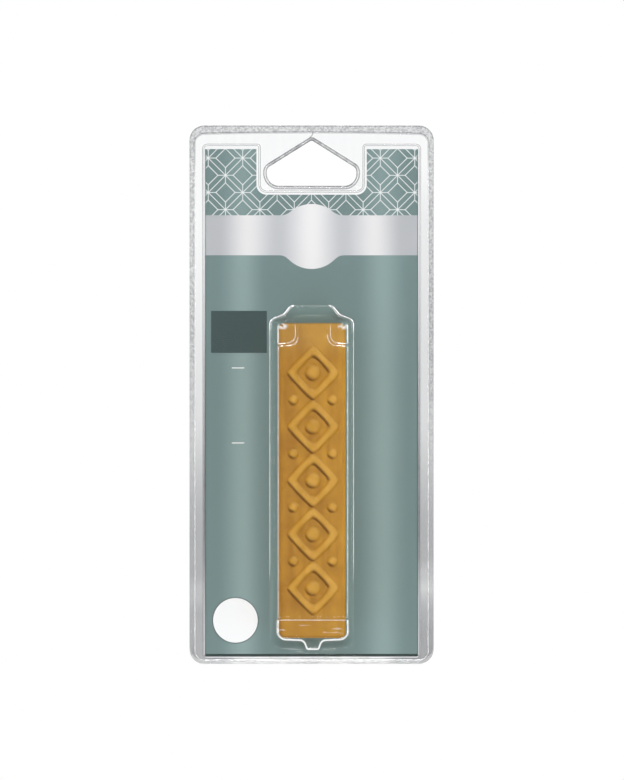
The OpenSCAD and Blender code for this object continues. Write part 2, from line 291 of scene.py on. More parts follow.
def smooth(share):
    """A share from 0 to 1, eased at both ends."""
    share = min(max(share, 0.0), 1.0)
    return share * share * (3 - 2 * share)


class Sheet:
    """Points and faces of one closed piece, gathered ring by ring. Depth runs forward, towards -Y."""

    def __init__(self):
        self.points, self.faces, self.finishes = [], [], []

    def ring(self, outline, depth, lift=None):
        """Adds an outline at a depth, raised further by lift where that is given."""
        start = len(self.points)
        self.points += [(p.x, -depth - (lift(p) if lift else 0.0), p.y) for p in outline]
        return list(range(start, len(self.points)))

    def add(self, face, finish=0):
        """Adds one face."""
        self.faces.append(face)
        self.finishes.append(finish)

    def wall(self, rings, finish=0):
        """Joins each ring to the next, which has as many points."""
        for low, high in zip(rings, rings[1:]):
            for i in range(len(low)):
                j = (i + 1) % len(low)
                self.add((low[i], low[j], high[j], high[i]), finish)

    def fill(self, outer, holes=(), finish=0, inner_points=()):
        """Fills the ring outer, apart from the rings in holes, by way of the inner points."""
        loops = [outer, *holes]
        ids = [i for loop in loops for i in loop] + list(inner_points)
        flat = [Vector((self.points[i][0], self.points[i][2])) for i in ids]
        edges, start = [], 0
        for loop in loops:
            n = len(loop)
            edges += [(start + k, start + (k + 1) % n) for k in range(n)]
            start += n
        places, _, triangles, origins, _, _ = delaunay_2d_cdt(flat, edges, [], 1, NEAR)
        rims = [[Vector((self.points[i][0], self.points[i][2])) for i in loop] for loop in loops]
        for triangle in triangles:
            middle = sum((places[k] for k in triangle), Vector((0, 0))) / 3
            if within(middle, rims[0]) and not any(within(middle, rim) for rim in rims[1:]):
                self.add([ids[origins[k][0]] for k in triangle], finish)

    def piece(self, name, materials, body, replaced, sharp_angle=SHARP_ANGLE):
        """The finished object, riding on its body."""
        mesh = bpy.data.meshes.new(name)
        mesh.from_pydata(self.points, [], self.faces)
        for material in materials:
            mesh.materials.append(material)
        mesh.polygons.foreach_set("material_index", self.finishes)
        shape = bmesh.new()
        shape.from_mesh(mesh)
        bmesh.ops.delete(shape, geom=[v for v in shape.verts if not v.link_faces], context="VERTS")
        bmesh.ops.recalc_face_normals(shape, faces=shape.faces)
        shape.to_mesh(mesh)
        shape.free()
        mesh.shade_smooth()
        mesh.set_sharp_from_angle(angle=math.radians(sharp_angle))
        made = bpy.data.objects.new(name, mesh)
        bpy.context.scene.collection.objects.link(made)
        flat_faces = made.modifiers.new("flat_faces", "WEIGHTED_NORMAL")
        flat_faces.keep_sharp = True
        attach(made, body)
        if replaced:
            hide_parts(replaced)
        return made


def within(point, loop):
    """Whether a point lies inside a closed loop."""
    found = False
    for a, b in zip(loop, loop[1:] + loop[:1]):
        if (a.y > point.y) != (b.y > point.y):
            found ^= point.x < a.x + (point.y - a.y) / (b.y - a.y) * (b.x - a.x)
    return found


# Outlines of the pack, seen from the front
RIM_POINTS = mirrored([
    Vector((PACK_X, PACK_TOP)),
    Vector((PACK_X, PACK_BOTTOM)),
    Vector((FOLD_HALF, PACK_BOTTOM)),
    Vector((FOLD_HALF, FLANGE_Z)),
])
RIM_RADII = paired([CORNER_R, CORNER_R, LEAST_R, LEAST_R])
RIM_PARTS = parts_of(RIM_POINTS, RIM_PITCH)
WELD_POINTS = mirrored([
    Vector((PACK_X - WELD_SIDE, PACK_TOP - WELD_TOP)),
    Vector((PACK_X - WELD_SIDE, PACK_BOTTOM + WELD_FOOT)),
    Vector((FOLD_HALF, PACK_BOTTOM + WELD_FOOT)),
    Vector((FOLD_HALF, PACK_BOTTOM + WELD_FOLD)),
])
WELD_RADII = paired([CORNER_R - WELD_SIDE, CORNER_R - WELD_SIDE, LEAST_R, LEAST_R])
BACK_POINTS = mirrored([Vector((PACK_X, PACK_TOP)), Vector((PACK_X, back_low.z))])
BACK_RADII = [CORNER_R] * 4
HOLE_POINTS = [Vector((0, 0))] + mirrored([
    Vector((HOLE_X, -HOLE_X * math.tan(HOLE_SLOPE))),
    Vector((HOLE_X, -HOLE_H)),
])
POCKET_POINTS = mirrored([
    Vector((NOTCH_X, NOTCH_Z)),
    Vector((NOTCH_X, card_high.z + POCKET_TOP)),
    Vector((card_high.x + POCKET_SIDE, card_high.z + POCKET_TOP)),
    Vector((card_high.x + POCKET_SIDE, card_low.z - POCKET_SEAT)),
])
POCKET_RADII = [NOTCH_R, ARM_R, POCKET_R, POCKET_R, POCKET_R, POCKET_R, ARM_R, NOTCH_R]
FACE_POINTS = mirrored([
    Vector((NECK_X, SHOULDER_Z + NECK_H)),
    Vector((NECK_TURN_X, SHOULDER_Z + NECK_TURN_H)),
    Vector((SIDE_X, SHOULDER_Z)),
    Vector((SIDE_X, FOOT_Z)),
    Vector((TAB_X, FOOT_Z - FOOT_CROWN)),
    Vector((TAB_END_X, FOOT_Z - FOOT_CROWN - TAB_H)),
])
ROOT_POINTS = mirrored([
    Vector((NECK_ROOT_X, SHOULDER_Z + NECK_ROOT_H)),
    Vector((NECK_ROOT_TURN_X, SHOULDER_Z + NECK_ROOT_TURN_H)),
    Vector((SIDE_X + SIDE_DRAFT, SHOULDER_Z)),
    Vector((SIDE_X + SIDE_DRAFT, FOOT_Z - FOOT_DRAFT)),
    Vector((TAB_X, FOOT_Z - FOOT_DRAFT - FOOT_CROWN)),
    Vector((TAB_END_X, FOOT_Z - FOOT_DRAFT - FOOT_CROWN - TAB_ROOT_H)),
])


def knurl(point):
    """Depth of the weld's pressed diamond pattern at a place, uneven as on a worn tool."""
    place = Vector((point.x, 0, point.y))
    one = math.sin(math.pi * (point.x + point.y) / KNURL_PITCH)
    two = math.sin(math.pi * (point.x - point.y) / KNURL_PITCH)
    uneven = (1 + noise.noise(place / KNURL_PATCH)) / 2
    grit = noise.noise(place / GRIT_SIZE)
    return KNURL_DEPTH * (KNURL_SHARE * abs(one * two) * uneven + GRIT_SHARE * grit)


def bowed(outline):
    """The weld's inner outline, with its top side bowed up in the middle."""
    reach = PACK_X - CORNER_R
    rise = [WELD_BOW * max(0.0, 1 - (p.x / reach) ** 2) if p.y > 0 else 0.0 for p in outline]
    return [p + Vector((0, r)) for p, r in zip(outline, rise)]


def welded_rim(sheet):
    """Pressed weld and the fine ridge inside it. Gives the outer rim and the ring where the land starts."""
    outer = rounded(RIM_POINTS, RIM_RADII, 0, RIM_PARTS)
    inner = bowed(rounded(WELD_POINTS, WELD_RADII, 0, RIM_PARTS))
    band = []
    for k in range(WELD_ROWS + 1):
        outline = [a.lerp(b, k / WELD_ROWS) for a, b in zip(outer, inner)]
        pressed = knurl if 0 < k < WELD_ROWS else None
        band.append(sheet.ring(outline, SHEET - WELD_PRESS, pressed))
    sheet.wall(band[:2], WELD_LINE)
    sheet.wall(band[1:-1], WELD)
    sheet.wall(band[-2:], WELD_LINE)
    ridge = [band[-1]]
    for share, height in RIDGE_SHARES:
        outline = bowed(rounded(WELD_POINTS, WELD_RADII, RIDGE_W * share, RIM_PARTS))
        ridge.append(sheet.ring(outline, SHEET + RIDGE_H * height))
    sheet.wall(ridge, RIDGE)
    return band[0], ridge[-1]


def pocket_step(sheet, grow, low, high, finish):
    """Small step from the land up to the pocket's level. Gives its outer and inner rings."""
    rings = []
    for k in range(EDGE_STEPS + 1):
        share = k / EDGE_STEPS
        spread = grow + POCKET_STEP_R * (1 - 2 * share)
        outline = rounded(POCKET_POINTS, POCKET_RADII, -spread)
        rings.append(sheet.ring(outline, low + (high - low) * smooth(share)))
    sheet.wall(rings, finish)
    return rings[0], rings[-1]


def bead_profile(half_share, level):
    """Distance from the hole's edge and depth along a round bead that stands on a level."""
    angles = [math.pi * k / BEAD_STEPS for k in range(BEAD_STEPS + 1)]
    away = [BEAD_W * (BEAD_HALF_SHARE + half_share * math.cos(a)) for a in angles]
    return list(zip(away, [level + BEAD_H * math.sin(a) for a in angles]))


def hole_rings(sheet, profile, finish):
    """Rings round the hang hole, from (distance, depth) pairs that run in to its edge."""
    rings = [sheet.ring(rounded(HOLE_POINTS, HOLE_RADII, -grow), depth) for grow, depth in profile]
    sheet.wall(rings, finish)
    return rings[0], rings[-1]


def panel_edge(point):
    """Distance from the edge of the blister's raised panel and channel, less than 0 inside them."""
    far = abs(point.x)
    top = PANEL_TOP - PANEL_FALL * (far - CHANNEL_X) / (SIDE_X - CHANNEL_X)
    panel = max(point.y - top, PANEL_FOOT - point.y)
    channel = max(far - CHANNEL_X, PANEL_TOP - CHANNEL_DOWN - point.y)
    near = max(PANEL_R - abs(panel - channel), 0.0)
    return min(panel, channel) - near * near / (4 * PANEL_R)


def blister(sheet, depth, finish):
    """The drafted blister: root fillet, walls, edge and face with its raised panel. Gives the root ring."""
    face, pocket = FACE_OUT - depth, POCKET_OUT - depth
    root, edge = ROOT_R + depth, FACE_R - depth
    radii = paired(BLISTER_RADII)
    parts = parts_of(ROOT_POINTS, BLISTER_PITCH)

    def lift(point):
        """How far the raised panel stands out from the face at a place."""
        return (PANEL_OUT - FACE_OUT) * smooth(-(panel_edge(point) + depth) / PANEL_RUN)

    rings = []
    for a in quarter():
        outline = rounded(ROOT_POINTS, radii, depth - root * (1 - math.sin(a)), parts)
        rings.append(sheet.ring(outline, pocket + root * (1 - math.cos(a))))
    for a in quarter():
        outline = rounded(FACE_POINTS, radii, depth + edge * (1 - math.cos(a)), parts)
        rings.append(sheet.ring(outline, face - edge * (1 - math.sin(a)), lift))
    sheet.wall(rings, finish)
    inside = rounded(FACE_POINTS, radii, FACE_R + PANEL_GRID / 2)
    across, along = round(SIDE_X / PANEL_GRID), round((FACE_POINTS[0].y - FOOT_Z) / PANEL_GRID)
    grid = [
        Vector((i * PANEL_GRID, FOOT_Z + j * PANEL_GRID))
        for i in range(-across, across + 1)
        for j in range(along + 1)
    ]
    steps = [p for p in grid if abs(panel_edge(p) + PANEL_RUN / 2 + depth) < PANEL_RUN and within(p, inside)]
    sheet.fill(rings[-1], [], finish, sheet.ring(steps, face, lift))
    return rings[0]


def formed_front(materials):
    """Clear front half: weld, land, card pocket, blister and hang hole, outside and inside."""
    sheet = Sheet()
    rim, land = welded_rim(sheet)
    bead_foot, hole_edge = hole_rings(sheet, bead_profile(BEAD_HALF_SHARE, SHEET), BEAD)
    step_foot, step_top = pocket_step(sheet, SHEET, SHEET, POCKET_OUT, LAND)
    sheet.fill(land, [step_foot, bead_foot], LAND)
    sheet.fill(step_top, [blister(sheet, 0.0, BLISTER)], BLISTER)

    inner_rim = sheet.ring(rounded(RIM_POINTS, RIM_RADII, 0, RIM_PARTS), SEAM)
    hollow = bead_profile(HOLLOW_HALF_SHARE, SEAM) + [(0, SEAM)]
    inner_foot, inner_edge = hole_rings(sheet, hollow, LAND)
    step_foot, step_top = pocket_step(sheet, 0, SEAM, POCKET_IN, LAND)
    sheet.fill(inner_rim, [step_foot, inner_foot], LAND)
    sheet.fill(step_top, [blister(sheet, SHEET, INSIDE)], INSIDE)
    sheet.wall([rim, inner_rim], WELD)
    sheet.wall([hole_edge, inner_edge], LAND)
    return sheet.piece("formed_front", materials, "front_shell", "front_shell")


def formed_back(materials):
    """Clear back half: flat flange, shallow panel behind the card and the same hang hole."""
    sheet = Sheet()
    levels = []
    for depth, wall in ((BACK_SHEET, BACK_SHEET), (SEAM, 0.0)):
        rim = sheet.ring(rounded(BACK_POINTS, BACK_RADII), -depth)
        edge = sheet.ring(rounded(HOLE_POINTS, HOLE_RADII), -depth)
        step_foot, step_top = pocket_step(sheet, wall, -depth, -(POCKET_IN + wall), BACK_PANEL)
        sheet.fill(rim, [step_foot, edge], BACK_FLANGE)
        sheet.fill(step_top, [], BACK_PANEL)
        levels.append((rim, edge))
    for outside, inside in zip(*levels):
        sheet.wall([outside, inside], BACK_FLANGE)
    return sheet.piece("formed_back", materials, "back_shell", "back_shell")


def fold_roll(material):
    """The bent edge along the bottom, uneven where the sheet was heated and folded."""
    sheet = Sheet()
    rows = []
    for s in range(FOLD_STATIONS + 1):
        x = (FOLD_HALF - FOLD_END_GAP) * (2 * s / FOLD_STATIONS - 1)
        wave = 1 - FOLD_WAVE_SHARE * (1 + noise.noise(Vector((x / FOLD_WAVE, 0, 0)))) / 2
        row = []
        for k in range(FOLD_TURNS + 1):
            a = math.pi * k / FOLD_TURNS
            y = -FOLD_R * math.cos(a) * wave
            z = FLANGE_Z - SEAM - (FLANGE_Z - PACK_BOTTOM) * math.sin(a) * wave
            row.append(len(sheet.points))
            sheet.points.append((x, y, z))
        rows.append(row)
    for a, b in zip(rows, rows[1:]):
        for k in range(FOLD_TURNS + 1):
            j = (k + 1) % (FOLD_TURNS + 1)
            sheet.add((a[k], a[j], b[j], b[k]))
    sheet.add(rows[0])
    sheet.add(rows[-1])
    return sheet.piece("fold_roll", [material], "front_shell", None)


def lozenge_relief(x, z):
    """Height of the ornament at a place on the stick's face, measured from the ornament's middle."""
    row = min(max(round(z / LOZENGE_PITCH), -(LOZENGE_N // 2)), LOZENGE_N // 2)
    local = z - row * LOZENGE_PITCH
    across = math.hypot(x, LOZENGE_TURN) - LOZENGE_TURN * TURN_SHARE
    along = math.hypot(local, LOZENGE_TURN) - LOZENGE_TURN * TURN_SHARE
    edge = LOZENGE_X * LOZENGE_Z - LOZENGE_Z * across - LOZENGE_X * along
    bead = abs(edge) / math.hypot(LOZENGE_X, LOZENGE_Z)
    stud_row = math.floor(z / LOZENGE_PITCH) + 0.5
    stud = math.inf
    if abs(stud_row) < LOZENGE_N / 2:
        stud = math.hypot(abs(x) - STUD_X, z - stud_row * LOZENGE_PITCH)
    nearest = min(bead / BEAD_REACH, math.hypot(x, local) / BOSS_R, stud / STUD_R)
    return ORNAMENT_H * max(1 - nearest ** 2, 0.0) ** ROUNDNESS


def cast_skin(place):
    """Small unevenness of the cast wax: soft waves and fine pits."""
    wave = noise.noise(place / SKIN_WAVE)
    ripple = noise.noise(place / SKIN_RIPPLE)
    pit = max(0.0, noise.noise(place / SKIN_PIT) - SKIN_PIT_LEVEL)
    return SKIN_WAVE_H * wave + SKIN_RIPPLE_H * ripple - SKIN_PIT_H * pit


def cast_stick(material):
    """The cast block with its chain of lozenges and bosses."""
    sheet = Sheet()
    middle = (stick_low.z + stick_high.z) / 2
    points = mirrored([Vector((STICK_X, stick_high.z)), Vector((STICK_X, stick_low.z))])
    radii = [STICK_CORNER_R] * 4
    parts = parts_of(points, CASTING_PITCH)
    rings = []
    for a in quarter():
        outline = rounded(points, radii, STICK_BACK_R * (1 - math.sin(a)), parts)
        rings.append(sheet.ring(outline, STICK_BACK + STICK_BACK_R * (1 - math.cos(a))))
    side_back, side_front = STICK_BACK + STICK_BACK_R, STICK_FACE - STICK_FRONT_R
    for k in range(1, CASTING_LEVELS):
        share = k / CASTING_LEVELS
        outline = rounded(points, radii, STICK_DRAFT * share, parts)
        rings.append(sheet.ring(outline, side_back + (side_front - side_back) * share))
    for a in quarter():
        outline = rounded(points, radii, STICK_DRAFT + STICK_FRONT_R * (1 - math.cos(a)), parts)
        rings.append(sheet.ring(outline, STICK_FACE - STICK_FRONT_R * (1 - math.sin(a))))
    sheet.wall(rings)
    sheet.fill(rings[0])
    inside = rounded(points, radii, STICK_DRAFT + STICK_FRONT_R + CASTING_MARGIN)
    across = int(STICK_X / CASTING_GRID)
    along = int((stick_high.z - middle) / CASTING_GRID)
    grid = [
        Vector((i * CASTING_GRID, middle + j * CASTING_GRID))
        for j in range(-along, along + 1)
        for i in range(-across, across + 1)
    ]
    grid = [p for p in grid if within(p, inside)]
    face_ids = sheet.ring(grid, STICK_FACE)
    sheet.fill(rings[-1], [], 0, face_ids)
    for i in face_ids:
        x, y, z = sheet.points[i]
        sheet.points[i] = (x, y - lozenge_relief(x, z - middle), z)
    crest = STICK_FACE + ORNAMENT_H * CREST_SHARE
    for i, (x, y, z) in enumerate(sheet.points):
        skin = cast_skin(Vector((x, y, z)))
        if -y > crest:
            skin = min(skin, 0.0)
        if -y > STICK_FACE - SLACK:
            sheet.points[i] = (x, y - skin, z)
        else:
            sheet.points[i] = (x * (1 + (skin - SKIN_WAVE_H) / STICK_X), y, z)
    return sheet.piece("cast_stick", [material], "wax_stick", "wax_stick", CASTING_SHARP_ANGLE)


class Value:
    """A number that a shader node gives. Arithmetic on it adds Math nodes."""

    def __init__(self, tree, socket):
        self.tree, self.socket = tree, socket

    def math(self, operation, *terms):
        """One Math node on numbers or values."""
        return self.tree.node("ShaderNodeMath", {"operation": operation}, dict(enumerate(terms)))

    def fraction(self):
        """The part after the point."""
        return self.math("FRACT", self)

    def __add__(self, other):
        return self.math("ADD", self, other)

    def __sub__(self, other):
        return self.math("SUBTRACT", self, other)

    def __rsub__(self, other):
        return self.math("SUBTRACT", other, self)

    def __mul__(self, other):
        return self.math("MULTIPLY", self, other)

    def __truediv__(self, other):
        return self.math("DIVIDE", self, other)

    def __pow__(self, other):
        return self.math("POWER", self, other)

    def __abs__(self):
        return self.math("ABSOLUTE", self)

    def __lt__(self, other):
        return self.math("LESS_THAN", self, other)

    def __gt__(self, other):
        return self.math("GREATER_THAN", self, other)

    def __and__(self, other):
        return self.math("MINIMUM", self, other)

    def __or__(self, other):
        return self.math("MAXIMUM", self, other)

    __radd__ = __add__
    __rmul__ = __mul__
    __rand__ = __and__
    __ror__ = __or__


class Tree:
    """The shader nodes of one material or of the world."""

    def __init__(self, owner):
        owner.use_nodes = True
        self.owner, self.nodes, self.links = owner, owner.node_tree.nodes, owner.node_tree.links
        self.nodes.clear()

    def node(self, kind, settings=None, sockets=None, output=0):
        """Adds a node, sets it, fills or links its sockets and gives one of its outputs."""
        made = self.nodes.new(kind)
        for name, value in (settings or {}).items():
            if name == "stops":
                ramp = made.color_ramp.elements
                while len(ramp) < len(value):
                    ramp.new(0.5)
                for element, (position, colour) in zip(ramp, value):
                    element.position, element.color = position, (*colour, 1)
                made.color_ramp.interpolation = "EASE"
            else:
                setattr(made, name, value)
        for name, value in (sockets or {}).items():
            socket = made.inputs[name]
            if isinstance(value, Value):
                self.links.new(value.socket, socket)
            elif socket.type == "RGBA":
                socket.default_value = (*value, 1) if len(value) == 3 else value
            else:
                socket.default_value = value
        return Value(self, made.outputs[output])

    def mix(self, share, a, b):
        """Colour that goes from a to b by a share."""
        return self.node("ShaderNodeMix", {"data_type": "RGBA"}, {0: share, 6: a, 7: b}, 2)

    def blend(self, share, a, b):
        """Shader that goes from a to b by a share."""
        return self.node("ShaderNodeMixShader", {}, {0: share, 1: a, 2: b})

    def place(self):
        """The piece's own coordinates in millimetres, as three values, and as one vector."""
        own = self.node("ShaderNodeTexCoord", {}, {}, "Object")
        scaled = self.node("ShaderNodeVectorMath", {"operation": "SCALE"}, {0: own, "Scale": 1 / MM})
        parts = [self.node("ShaderNodeSeparateXYZ", {}, {0: scaled}, axis) for axis in "XYZ"]
        return (*parts, scaled)

    def facing(self, way):
        """How far the piece's own surface faces along an axis, from -1 to 1."""
        own = self.node("ShaderNodeTexCoord", {}, {}, "Normal")
        return self.node("ShaderNodeSeparateXYZ", {}, {0: own}, way)

    def noise(self, place, size, detail=2.0, roughness=0.5):
        """Cloudy pattern of a size in millimetres, from 0 to 1."""
        sockets = {"Vector": place, "Scale": 1 / size, "Detail": detail, "Roughness": roughness}
        return self.node("ShaderNodeTexNoise", {}, sockets)

    def stretch(self, place, along):
        """A place whose axes are each scaled, so that a pattern on it grows longer where along is small."""
        return self.node("ShaderNodeVectorMath", {"operation": "MULTIPLY"}, {0: place, 1: along})

    def range(self, value, low, high, to_low=0.0, to_high=1.0):
        """Soft change from to_low to to_high while a value goes from low to high."""
        ends = {"Value": value, 1: low, 2: high, 3: to_low, 4: to_high}
        return self.node("ShaderNodeMapRange", {"interpolation_type": "SMOOTHSTEP"}, ends)

    def bump(self, height, strength, distance):
        """Normal of a surface with a fine relief."""
        sockets = {"Height": height, "Strength": strength, "Distance": distance}
        return self.node("ShaderNodeBump", {}, sockets)

    def close(self, shader, kind="ShaderNodeOutputMaterial"):
        """Ends the nodes with a shader and gives their material or world."""
        out = self.nodes.new(kind)
        self.links.new(shader.socket, out.inputs["Surface"])
        return self.owner


def srgb(red, green, blue):
    """Linear colour of a screen colour given from 0 to 255."""
    parts = (red / 255, green / 255, blue / 255)
    return tuple(c / 12.92 if c <= 0.04045 else ((c + 0.055) / 1.055) ** 2.4 for c in parts)


def span(place, start, end):
    """Two places in millimetres, each measured from a place on the pack."""
    return place / MM + start, place / MM + end


def apart(across, along):
    """Length of a step across and along the pack."""
    return (across ** 2 + along ** 2) ** 0.5


# Finish of the clear sheet. Sizes and places of a finish are in millimetres, heights of its relief in metres
CLEAR_TINT = (0.991, 0.993, 0.994)
SMOKE_TINT = (0.2, 0.21, 0.22)
LEAST_GLOSS = 0.006
WALL_GLOSS = 0.02
GRAZING_GLOSS = 0.12
GRAZING_POWER = 5
SHINE_TINT = (1, 1, 1)
SHINE_ROUGHNESS = 0.06
SHEET_WAVE = 14.0
SHEET_WAVE_H = 0.4 * MM
HAZE_SIZE = 30.0
HAZE_GREY = 0.02
FORMED_WALL_GREY = 0.012


def clear_sheet(tree, grey_and_shade, wall_grey, bend_gloss, painted_shine=0.0):
    """See-through sheet: greyer by a share that holds both its own tint and painted shade, and along steep
    walls, with most gloss on its bends and extra gloss laid on by place as painted highlights.
    """
    flat = abs(tree.facing("Y"))
    edge = tree.range(flat, 0.9, 0.2, 0.0, wall_grey)
    grey = 1 - (1 - grey_and_shade) * (1 - edge)
    clear = tree.node("ShaderNodeBsdfTransparent", {}, {"Color": CLEAR_TINT})
    dark = tree.node("ShaderNodeBsdfTransparent", {}, {"Color": SMOKE_TINT})
    body = tree.blend(grey, clear, dark)
    grazing = tree.node("ShaderNodeLayerWeight", {}, {"Blend": 0.5}, "Facing") ** GRAZING_POWER
    bend = tree.range(flat, 0.995, 0.95) * tree.range(flat, 0.64, 0.78)
    wall = tree.range(flat, 0.4, 0.2)
    gloss = LEAST_GLOSS + painted_shine + bend_gloss * bend + WALL_GLOSS * wall + GRAZING_GLOSS * grazing
    _, _, _, place = tree.place()
    wavy = tree.bump(tree.noise(place, SHEET_WAVE), 0.12, SHEET_WAVE_H)
    shine = tree.node("ShaderNodeBsdfGlossy", {}, {
        "Color": SHINE_TINT, "Roughness": SHINE_ROUGHNESS, "Normal": wavy,
    })
    return tree.blend(gloss, body, shine)


# Painted shade round the rim: grey, with paler painted patches, that stands in for shadow seen through the
# clear sheet
LOW_GREY = span(PACK_BOTTOM, 86.0, 42.0)
LONG_GREY = span(PACK_TOP, -25.0, -120.0)
PALE_PATCH_Z = PACK_BOTTOM / MM + 24.0
PALE_PATCH_REACH = (7.0, 1.0)
RIGHT_GREY = span(PACK_BOTTOM, 58.0, 128.0)
RIGHT_HEAD = span(PACK_TOP, -11.0, -35.0)
RIGHT_FOOT = span(PACK_BOTTOM, 18.0, 10.0)
RIGHT_PATCH_Z = PACK_BOTTOM / MM + 28.5
RIGHT_PATCH_REACH = (8.0, 2.0)


def painted_rim_shade(tree, x, z):
    """Share of painted shade in the rim, which grows towards the foot of the pack and differs on the right."""
    low = tree.range(z, *LOW_GREY, 0.0, 0.13)
    along = tree.range(z, *LONG_GREY, 0.0, 0.085)
    patch = tree.range(abs(z - PALE_PATCH_Z), *PALE_PATCH_REACH, 0.0, 0.04)
    right = tree.range(z, *RIGHT_GREY, 0.0, 0.035) * tree.range(z, *RIGHT_HEAD)
    right_foot = tree.range(z, *RIGHT_FOOT, 0.0, 0.03)
    right_patch = tree.range(abs(z - RIGHT_PATCH_Z), *RIGHT_PATCH_REACH, 0.0, 0.05)
    return low + along - patch + (right + right_foot - right_patch) * (x > 0.0)


# Finish of the strip along the fold, and its streaks
STRIP_ENDS = span(FOLD_HALF, -2.3, -12.3)
STRIP_HEAD = PACK_BOTTOM / MM + 3.0
THREAD_SIZE = 0.32
THREAD_STRETCH = (0.24, 1.0, 1.0)
TANGLE_SIZE = 0.9
TANGLE_STRETCH = (0.12, 1.0, 1.0)


def fold_strip(tree, x, z):
    """Share of the whitish strip along the fold, which fades into the corners."""
    return tree.range(abs(x), *STRIP_ENDS) * (z < STRIP_HEAD)


def fold_streaks(tree, place):
    """Thin grey streaks that the heated fold leaves in the sheet."""
    thread = tree.noise(tree.stretch(place, THREAD_STRETCH), THREAD_SIZE, 4.0, 0.7)
    tangle = tree.noise(tree.stretch(place, TANGLE_STRETCH), TANGLE_SIZE, 3.0)
    return tree.range(thread, 0.48, 0.6) * tree.range(tangle, 0.36, 0.56)


# Painted shadow in the gap between the card's side edges and its pocket
GAP_INSIDE = span(card_high.x, -0.05, 0.05)
GAP_OUTSIDE = span(card_high.x, 0.8, 0.4)
GAP_HEAD = span(card_high.z, -2.0, -115.0)
GAP_FOOT = span(card_low.z, 7.5, 45.5)


def card_gap_shadow(tree, x, z):
    """Share of painted shadow in the narrow gap beside the card, darkest towards the foot of the pack, with
    the rim's painted shade in it too.
    """
    far = abs(x)
    gap = tree.range(far, *GAP_INSIDE) * tree.range(far, *GAP_OUTSIDE, 0.3, 1.0)
    shade = tree.range(z, *GAP_HEAD, 0.0, 0.75) * tree.range(z, *GAP_FOOT, 0.35, 1.0)
    return (painted_rim_shade(tree, x, z) * 0.7 + shade) * gap


# Painted glints on the blister, laid on as extra gloss
ON_FACE = span(-FACE_OUT, 1.0, 0.0)
GLINT_X = SIDE_X / MM - 2.2
GLINT_Z = SHOULDER_Z / MM - 2.1
GLINT_SQUASH = 1.7
GLINT_REACH = (2.3, 0.6)
GLINT_GRAIN = 1.3
RIPPLE_Z = FOOT_Z / MM + 4.4
RIPPLE_REACH = (2.2, 1.0)
RIPPLE_SIZE = 0.8
RIPPLE_STRETCH = (0.14, 1.0, 1.0)
WALL_INSIDE = span(SIDE_X, -1.0, 0.0)
WALL_OUTSIDE = span(SIDE_X, 1.8, 0.1)
BESIDE_FOOT_HEAD = span(FOOT_Z, 8.8, 3.8)
BESIDE_FOOT_END = span(FOOT_Z, -1.2, 2.3)


def blister_glints(tree, far, y, z, place):
    """Painted highlights laid on as extra gloss: broken glints on the corner pads and above the foot, and a
    glow on the walls beside the foot.
    """
    on_face = y < ON_FACE[0]
    from_pad = apart(far - GLINT_X, (z - GLINT_Z) * GLINT_SQUASH)
    patch = tree.range(tree.noise(place, GLINT_GRAIN), 0.4, 0.55)
    pads = tree.range(from_pad, *GLINT_REACH) * patch * on_face
    ripple = tree.noise(tree.stretch(place, RIPPLE_STRETCH), RIPPLE_SIZE)
    foot = tree.range(ripple, 0.6, 0.68) * tree.range(abs(z - RIPPLE_Z), *RIPPLE_REACH) * on_face
    wall = tree.range(far, *WALL_INSIDE) * tree.range(far, *WALL_OUTSIDE)
    beside_foot = wall * tree.range(z, *BESIDE_FOOT_HEAD) * tree.range(z, *BESIDE_FOOT_END)
    return pads * 0.75 + foot * 0.35 + beside_foot * 0.6


# Gloss of the blister
FACE_FADE = span(-FACE_OUT, 15.0, 7.0)
ROOT_FADE = span(-POCKET_OUT, -9.1, -0.1)
SHOULDER_FADE = span(SHOULDER_Z, -4.7, -0.7)
NECK_FADE = span(NECK_X, -0.8, 0.9)
SIDE_FADE = span(FOOT_Z, 17.8, 27.8)
PAD_FOOT = span(PANEL_TOP, -3.3, -0.3)
PAD_HEAD = span(SHOULDER_Z, -0.7, -2.7)
FOOT_FADE = span(FOOT_Z, 4.8, 0.3)
STEP_REACH = (1.4, 0.6)


def blister_plastic():
    """Outside of the blister, most glossy on the shoulders, down the sides and round the foot, with painted
    highlights laid on as extra gloss.
    """
    tree = Tree(bpy.data.materials.new("blister_plastic"))
    x, y, z, place = tree.place()
    far = abs(x)
    at_face = tree.range(y, *FACE_FADE)
    upper = tree.range(z, *SHOULDER_FADE)
    shoulders = tree.range(far, *NECK_FADE, 0.025, 0.45)
    root_gloss = tree.range(z, *SIDE_FADE, 0.01, 0.32) * (1 - upper) + shoulders * upper
    pads = tree.range(y, *ON_FACE) * tree.range(z, *PAD_FOOT) * tree.range(z, *PAD_HEAD)
    foot = tree.range(z, *FOOT_FADE)
    step = tree.range(abs(z - PANEL_FOOT / MM), *STEP_REACH)
    face_gloss = 0.17 * (1 - upper) + 0.02 + 0.15 * pads + 0.4 * step + 0.75 * foot
    gloss = root_gloss * (1 - at_face) + face_gloss * at_face

    flat = abs(tree.facing("Y"))
    bent = tree.range(flat, 0.999, 0.97) * tree.range(flat, 0.1, 0.3)
    flank = tree.range(flat, 0.5, 0.2) * tree.range(y, *ROOT_FADE)
    curve_glow = (bent + flank) * shoulders * upper * (1 - at_face)
    # Painted highlights: a broad glow on the shoulders, lines round the pads and the glints.
    painted_shine = curve_glow + bent * pads * 0.08 + blister_glints(tree, far, y, z, place)
    grey_and_shade = tree.noise(place, HAZE_SIZE) * HAZE_GREY + card_gap_shadow(tree, x, z)
    return tree.close(clear_sheet(tree, grey_and_shade, FORMED_WALL_GREY, gloss, painted_shine))


def inner_plastic():
    """Inside of the blister and the plain back."""
    tree = Tree(bpy.data.materials.new("inner_plastic"))
    _, _, _, place = tree.place()
    grey_and_shade = tree.noise(place, HAZE_SIZE) * HAZE_GREY
    return tree.close(clear_sheet(tree, grey_and_shade, FORMED_WALL_GREY, 0.0))


